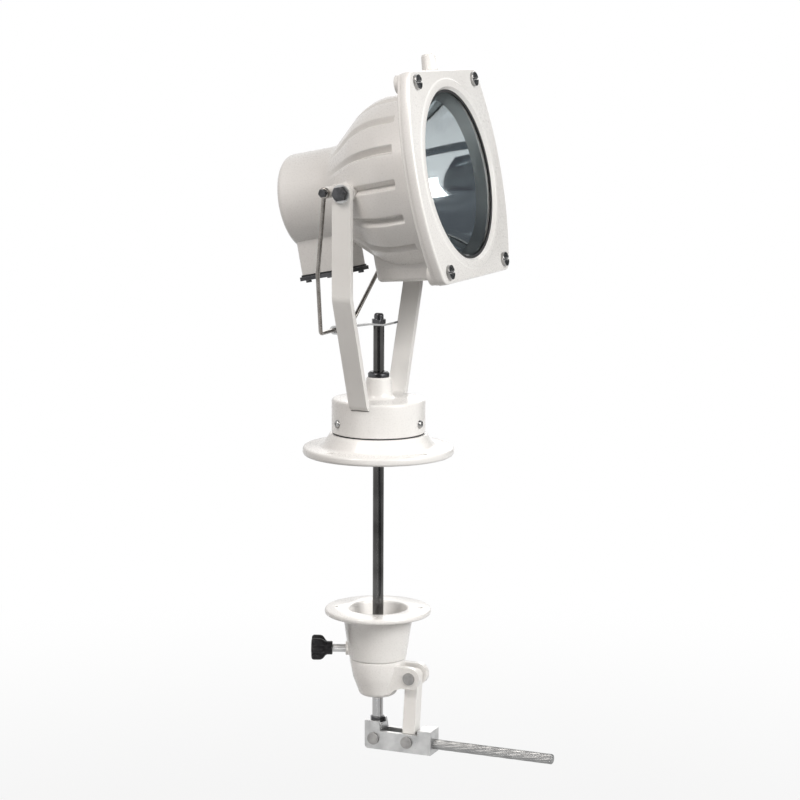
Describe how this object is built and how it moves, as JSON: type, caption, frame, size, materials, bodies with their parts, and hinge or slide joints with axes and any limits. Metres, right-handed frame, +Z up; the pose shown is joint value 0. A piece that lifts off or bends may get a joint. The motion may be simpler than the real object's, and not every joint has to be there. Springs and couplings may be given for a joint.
{
  "type": "marine searchlight",
  "caption": "Cabin-roof marine searchlight with a fluted lamp head in a yoke on a turntable, panned and tilted from inside by a handle, lever and rod.",
  "frame": {"origin": "centre of the roof flange's lower face, on the control rod's axis", "axes": "+Z up the control rod, +X the beam's heading at rest, Y along the tilt axis"},
  "size_m": [0.4156, 0.318, 1.0162],
  "materials": {
    "white_casting": "gloss white paint on a casting",
    "white_bar": "gloss white paint on steel bar",
    "polished_steel": "polished",
    "zinc_steel": "zinc plated",
    "dark_steel": "blackened",
    "bronze": "machined",
    "black_rubber": "matt",
    "black_plastic": "moulded",
    "lens": "clear toughened",
    "bulb_glass": "clear",
    "mirror_finish": "bright anodised",
    "insulator": "glazed"
  },
  "bodies": {
    "roof_mount": {"roof_flange": "white_casting", "thrust_washer": "black_rubber", "lower_guide_bush": "bronze", "ceiling_flange": "white_casting"},
    "turntable": {"turntable": "white_casting", "left_yoke_arm": "white_bar", "right_yoke_arm": "white_bar", "arm_bolts": "dark_steel", "tilt_bushes": "bronze", "retaining_screws": "dark_steel", "gland_nut": "dark_steel", "gland_packing": "black_rubber", "upper_guide_bush": "bronze", "drive_key": "zinc_steel"},
    "lamp": {"lamp_housing": "white_casting", "front_frame": "white_casting", "front_screws": "dark_steel", "lens_glass": "lens", "lens_gasket": "black_rubber", "reflector": "mirror_finish", "lamp_bulb": "bulb_glass", "lamp_holder": "insulator", "terminal_gasket": "black_rubber", "terminal_cover": "dark_steel", "terminal_bolts": "dark_steel", "terminal_block": "insulator", "cable_gland": "black_plastic", "vent_plug": "white_casting", "tilt_bolts": "dark_steel", "tilt_washers": "zinc_steel", "bail_screws": "dark_steel"},
    "tilt_bail": {"tilt_bail": "polished_steel"},
    "control_rod": {"control_rod": "polished_steel", "tilt_strip": "zinc_steel", "strip_nut": "dark_steel", "rod_end": "zinc_steel", "rod_lock_nut": "dark_steel"},
    "lever": {"lever": "zinc_steel", "handle": "zinc_steel", "lever_pins": "zinc_steel", "lever_pin_clips": "dark_steel"},
    "link": {"link": "white_bar"},
    "control_hub": {"control_hub": "white_casting", "hub_bush": "bronze", "hub_ring": "zinc_steel", "ear_pin": "zinc_steel", "ear_pin_clip": "dark_steel"},
    "lock_pad": {"lock_pad": "bronze"},
    "lock_knob": {"lock_screw": "zinc_steel", "lock_knob": "black_plastic"}
  },
  "joints": [
    {"name": "pan", "type": "hinge", "parent": "roof_mount", "child": "turntable", "pos_m": [0, 0, 0.033], "axis": [0, 0, 1], "range_deg": [-180, 180]},
    {"name": "tilt", "type": "hinge", "parent": "turntable", "child": "lamp", "pos_m": [0, 0, 0.385], "axis": [0, -1, 0], "range_deg": [-30, 30]},
    {"name": "bail_swing", "type": "hinge", "parent": "lamp", "child": "tilt_bail", "pos_m": [-0.028, 0, 0.385], "axis": [0, -1, 0], "range_deg": [-31, 31]},
    {"name": "rod_slide", "type": "slide", "parent": "turntable", "child": "control_rod", "axis": [0, 0, 1], "range_m": [-0.0145, 0.0145]},
    {"name": "lever_swing", "type": "hinge", "parent": "control_rod", "child": "lever", "pos_m": [0, 0, -0.4235], "axis": [0, -1, 0], "range_deg": [-16, 16]},
    {"name": "link_swing", "type": "hinge", "parent": "lever", "child": "link", "pos_m": [0.053, 0, -0.4235], "axis": [0, -1, 0], "range_deg": [-16, 16]},
    {"name": "hub_turn", "type": "hinge", "parent": "roof_mount", "child": "control_hub", "pos_m": [0, 0, -0.3035], "axis": [0, 0, 1], "range_deg": [-181, 181]},
    {"name": "lock_slide", "type": "slide", "parent": "roof_mount", "child": "lock_pad", "axis": [-0.9336, -0.3584, 0], "range_m": [0, 0.003]},
    {"name": "lock_turn", "type": "hinge", "parent": "lock_pad", "child": "lock_knob", "pos_m": [0, 0, -0.291], "axis": [-0.9336, -0.3584, 0], "range_deg": [-4, 724]}
  ],
  "couplings": [
    {"joint": "bail_swing", "follows": "tilt", "ratio": -1},
    {"joint": "rod_slide", "follows": "tilt", "m_per_rad": -0.027},
    {"joint": "lever_swing", "follows": "tilt", "ratio": 0.50943},
    {"joint": "link_swing", "follows": "tilt", "ratio": -0.50943},
    {"joint": "hub_turn", "follows": "pan", "ratio": 1},
    {"joint": "lock_turn", "follows": "lock_slide", "rad_per_m": 4188.8}
  ]
}
